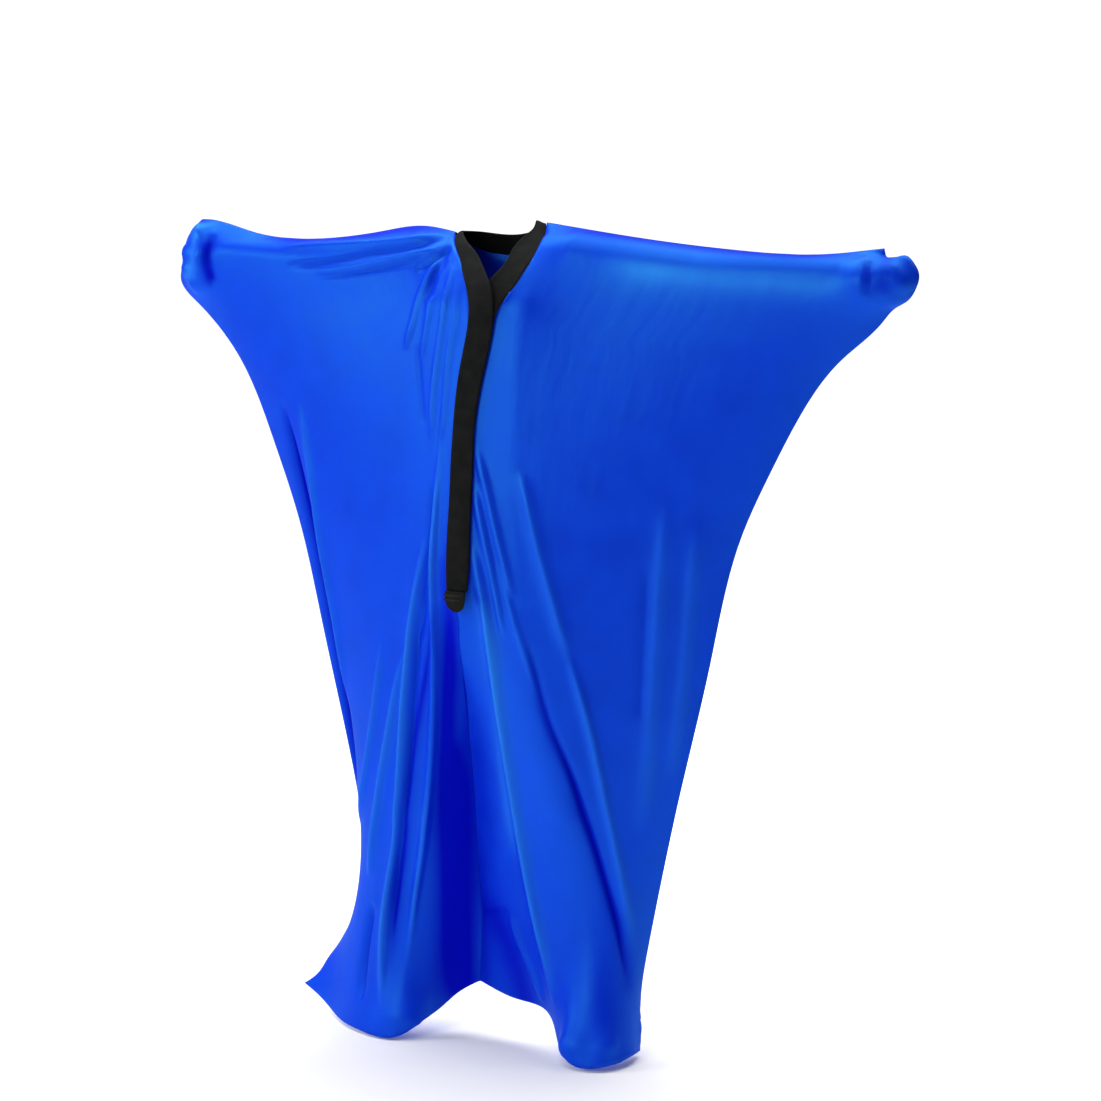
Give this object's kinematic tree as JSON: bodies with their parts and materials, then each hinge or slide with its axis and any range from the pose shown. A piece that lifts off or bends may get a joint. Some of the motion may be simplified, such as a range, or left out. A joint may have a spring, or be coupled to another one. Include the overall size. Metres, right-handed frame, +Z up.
{
  "type": "stretch body sock",
  "caption": "Child's pull-over bag of stretch cloth in its worn pose, with a bound V neck and a hook-and-loop front placket",
  "frame": {"origin": "centre of the neck opening, level with the base of the wearer's neck", "axes": "+Z up along the wearer's spine; the wearer faces -Y, so the placket is on -Y; +X is the wearer's left hand"},
  "size_m": [0.9016, 0.2176, 0.9157],
  "materials": {
    "blue_stretch_cloth": "satin warp-knit stretch cloth, royal blue",
    "blue_overlock_seam": "overlocked edge of the same cloth",
    "black_binding": "matte folded knit binding",
    "black_thread": "polyester sewing thread",
    "hook_tape": "moulded nylon hooks",
    "loop_tape": "brushed nylon loops",
    "white_label": "blank satin ribbon"
  },
  "bodies": {
    "bag": {"front_panel_right": "blue_stretch_cloth", "front_panel_left": "blue_stretch_cloth", "back_panel": "blue_stretch_cloth", "shoulder_seam_right": "blue_overlock_seam", "shoulder_seam_left": "blue_overlock_seam", "side_seam_right": "blue_overlock_seam", "side_seam_left": "blue_overlock_seam", "bottom_seam_right": "blue_overlock_seam", "bottom_seam_left": "blue_overlock_seam", "centre_front_seam": "blue_overlock_seam", "collar_right": "black_binding", "collar_left": "black_binding", "collar_back": "black_binding", "placket_tail": "black_binding", "bar_tacks": "black_thread", "care_label": "white_label"},
    "overlap": {"overlap_placket": "black_binding", "hook_patches": "hook_tape"},
    "underlap": {"underlap_placket": "black_binding", "loop_patches": "loop_tape"}
  },
  "joints": [
    {"name": "overlap_opens", "type": "hinge", "parent": "bag", "child": "overlap", "pos_m": [-0.016, -0.072, -0.2045], "axis": [-0.0522, -0.0783, -0.9956], "range_deg": [0, 150]},
    {"name": "underlap_opens", "type": "hinge", "parent": "bag", "child": "underlap", "pos_m": [0.01194, -0.06726, -0.21438], "axis": [-0.0653, -0.0783, -0.9948], "range_deg": [0, 60]}
  ]
}
